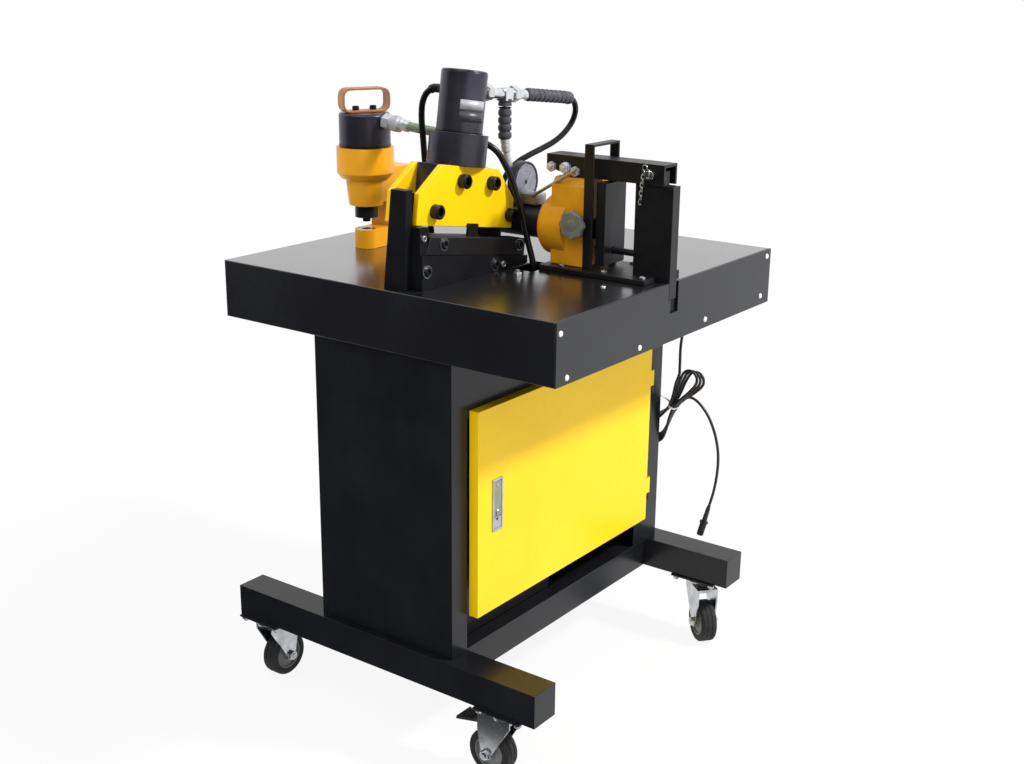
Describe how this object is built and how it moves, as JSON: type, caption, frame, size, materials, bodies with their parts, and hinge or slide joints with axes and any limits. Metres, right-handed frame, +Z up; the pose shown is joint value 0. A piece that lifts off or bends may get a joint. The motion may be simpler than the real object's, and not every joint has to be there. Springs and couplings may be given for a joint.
{
  "type": "busbar processing machine",
  "caption": "Wheeled hydraulic bench for copper busbar: a leaning cutter, an upright punch and a level bender on a folded table top over a cabinet with a hinged door.",
  "frame": {"origin": "on the floor under the middle of the machine", "axes": "+Z up; -Y is the side with the door and the fascia; +X is the side with the door hinges"},
  "size_m": [0.697, 0.68, 1.1034],
  "materials": {
    "black_enamel": "gloss",
    "yellow_enamel": "gloss",
    "casting_enamel": "semi-gloss",
    "copper_enamel": "satin",
    "satin_black_steel": "satin",
    "zinc_plate": "satin",
    "tool_steel": "ground",
    "caster_tyre": "matte",
    "hose_rubber": "satin",
    "black_plastic": "matte",
    "knob_plastic": "satin",
    "tank_enamel": "satin"
  },
  "bodies": {
    "machine": {"beam_bolt": "zinc_plate", "bender_bed": "satin_black_steel", "bender_casting": "casting_enamel", "bender_cylinder": "satin_black_steel", "bender_yoke": "black_enamel", "cabinet_floor": "black_enamel", "cabinet_front_frame": "black_enamel", "cabinet_left_panel": "black_enamel", "cabinet_rear_panel": "black_enamel", "cabinet_right_panel": "black_enamel", "cord_drop": "hose_rubber", "cord_gland": "hose_rubber", "cord_hank": "hose_rubber", "cord_plug": "hose_rubber", "cord_tail": "hose_rubber", "cross_bar_front": "black_enamel", "cross_bar_rear": "black_enamel", "cutter_base": "black_enamel", "cutter_cylinder": "satin_black_steel", "cutter_front_plate": "yellow_enamel", "cutter_head": "satin_black_steel", "cutter_rear_plate": "yellow_enamel", "cylinder_fitting": "zinc_plate", "end_post": "satin_black_steel", "foot_left": "black_enamel", "foot_right": "black_enamel", "front_fascia": "black_enamel", "gauge_hose": "hose_rubber", "lower_blade": "satin_black_steel", "motor_pump": "satin_black_steel", "oil_tank": "tank_enamel", "pressure_gauge": "satin_black_steel", "punch_coupler": "zinc_plate", "punch_cylinder": "satin_black_steel", "punch_die": "tool_steel", "punch_frame": "casting_enamel", "punch_handle": "copper_enamel", "punch_hose": "hose_rubber", "return_hose": "hose_rubber", "supply_hose": "hose_rubber", "table_top": "black_enamel"},
    "swivel_front_left": {"caster_fork_front_left": "zinc_plate"},
    "wheel_front_left": {"caster_wheel_front_left": "caster_tyre"},
    "swivel_rear_left": {"caster_fork_rear_left": "zinc_plate"},
    "wheel_rear_left": {"caster_wheel_rear_left": "caster_tyre"},
    "swivel_front_right": {"caster_fork_front_right": "zinc_plate"},
    "wheel_front_right": {"caster_wheel_front_right": "caster_tyre"},
    "swivel_rear_right": {"caster_fork_rear_right": "zinc_plate"},
    "wheel_rear_right": {"caster_wheel_rear_right": "caster_tyre"},
    "pedal_front_left": {"brake_pedal_front_left": "black_plastic"},
    "pedal_rear_left": {"brake_pedal_rear_left": "black_plastic"},
    "door": {"door": "yellow_enamel"},
    "latch": {"latch_paddle": "zinc_plate"},
    "blade_carriage": {"blade_carriage": "tool_steel"},
    "punch": {"punch": "tool_steel"},
    "press": {"press_plate": "satin_black_steel"},
    "beam": {"bend_beam": "satin_black_steel"},
    "hitch_pin": {"hitch_pin": "zinc_plate"},
    "knob_left": {"knob_left": "knob_plastic"},
    "knob_right": {"knob_right": "knob_plastic"}
  },
  "joints": [
    {"name": "swivel_front_left", "type": "hinge", "parent": "machine", "child": "swivel_front_left", "pos_m": [-0.3155, -0.245, 0.1], "axis": [0, 0, 1], "continuous": true},
    {"name": "wheel_spin_front_left", "type": "hinge", "parent": "swivel_front_left", "child": "wheel_front_left", "pos_m": [-0.3155, -0.217, 0.04], "axis": [-1, 0, 0], "continuous": true},
    {"name": "swivel_rear_left", "type": "hinge", "parent": "machine", "child": "swivel_rear_left", "pos_m": [-0.3155, 0.29, 0.1], "axis": [0, 0, 1], "continuous": true},
    {"name": "wheel_spin_rear_left", "type": "hinge", "parent": "swivel_rear_left", "child": "wheel_rear_left", "pos_m": [-0.2875, 0.29, 0.04], "axis": [0, 1, 0], "continuous": true},
    {"name": "swivel_front_right", "type": "hinge", "parent": "machine", "child": "swivel_front_right", "pos_m": [0.3155, -0.245, 0.1], "axis": [0, 0, 1], "continuous": true},
    {"name": "wheel_spin_front_right", "type": "hinge", "parent": "swivel_front_right", "child": "wheel_front_right", "pos_m": [0.2975, -0.26645, 0.04], "axis": [0.766, -0.6428, 0], "continuous": true},
    {"name": "swivel_rear_right", "type": "hinge", "parent": "machine", "child": "swivel_rear_right", "pos_m": [0.3155, 0.29, 0.1], "axis": [0, 0, 1], "continuous": true},
    {"name": "wheel_spin_rear_right", "type": "hinge", "parent": "swivel_rear_right", "child": "wheel_rear_right", "pos_m": [0.29012, 0.30183, 0.04], "axis": [-0.4226, -0.9063, 0], "continuous": true},
    {"name": "pedal_press_front_left", "type": "hinge", "parent": "swivel_front_left", "child": "pedal_front_left", "pos_m": [-0.3155, -0.211, 0.0955], "axis": [-1, 0, 0], "range_deg": [0, 10], "stiffness_Nm_per_rad": 0.5, "springref_deg": -11.46},
    {"name": "pedal_press_rear_left", "type": "hinge", "parent": "swivel_rear_left", "child": "pedal_rear_left", "pos_m": [-0.2815, 0.29, 0.0955], "axis": [0, 1, 0], "range_deg": [0, 10], "stiffness_Nm_per_rad": 0.5, "springref_deg": -11.46},
    {"name": "door_hinge", "type": "hinge", "parent": "machine", "child": "door", "pos_m": [0.25, -0.155, 0.42], "axis": [0, 0, 1], "range_deg": [0, 110]},
    {"name": "latch_pull", "type": "hinge", "parent": "door", "child": "latch", "pos_m": [-0.2355, -0.1605, 0.467], "axis": [-1, 0, 0], "range_deg": [0, 35], "stiffness_Nm_per_rad": 0.2},
    {"name": "cut_stroke", "type": "slide", "parent": "machine", "child": "blade_carriage", "axis": [-0.1564, 0, -0.9877], "range_m": [0, 0.018], "stiffness_N_per_m": 4000, "springref_m": -0.03},
    {"name": "punch_stroke", "type": "slide", "parent": "machine", "child": "punch", "axis": [0, 0, -1], "range_m": [0, 0.02], "stiffness_N_per_m": 4000, "springref_m": -0.02},
    {"name": "bend_stroke", "type": "slide", "parent": "machine", "child": "press", "axis": [0, -1, 0], "range_m": [0, 0.04], "stiffness_N_per_m": 1000, "springref_m": -0.02},
    {"name": "beam_lift", "type": "hinge", "parent": "machine", "child": "beam", "pos_m": [-0.008, -0.143, 0.946], "axis": [-1, 0, 0], "range_deg": [0, 14]},
    {"name": "hitch_pin_pull", "type": "slide", "parent": "beam", "child": "hitch_pin", "axis": [-1, 0, 0], "range_m": [0, 0.06]},
    {"name": "knob_turn_left", "type": "hinge", "parent": "machine", "child": "knob_left", "pos_m": [-0.044, -0.177, 0.86], "axis": [1, 0, 0], "continuous": true},
    {"name": "knob_turn_right", "type": "hinge", "parent": "machine", "child": "knob_right", "pos_m": [0.026, -0.177, 0.86], "axis": [1, 0, 0], "continuous": true}
  ]
}
